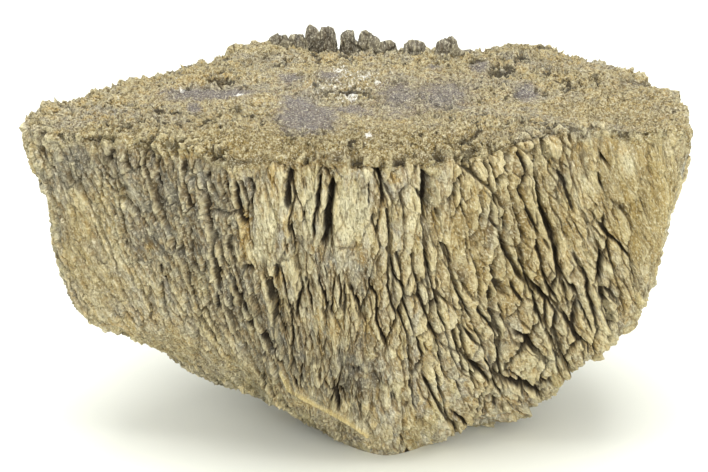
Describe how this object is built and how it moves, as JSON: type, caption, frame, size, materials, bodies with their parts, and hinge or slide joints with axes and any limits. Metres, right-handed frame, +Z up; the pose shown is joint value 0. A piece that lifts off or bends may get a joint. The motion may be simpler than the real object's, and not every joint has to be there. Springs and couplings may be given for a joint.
{
  "type": "fossil bone section",
  "caption": "Flared end of a fossil dinosaur limb bone, broken across above and below, with bark-like fibrous sides, a spongy top face and a small flat spot to rest on.",
  "frame": {"origin": "middle of the flat spot that the piece rests on", "axes": "+Z up, away from the surface it rests on; +X along the length, to the right as seen from the front; the fibrous front faces -Y"},
  "size_m": [0.1581, 0.124, 0.0883],
  "materials": {
    "fossil_bone": "mineralised bone, dry and dull: fibrous tan and grey sides with dark cracks, and a granular olive-yellow top face"
  },
  "bodies": {
    "root": {"bone_section": "fossil_bone"}
  },
  "joints": []
}
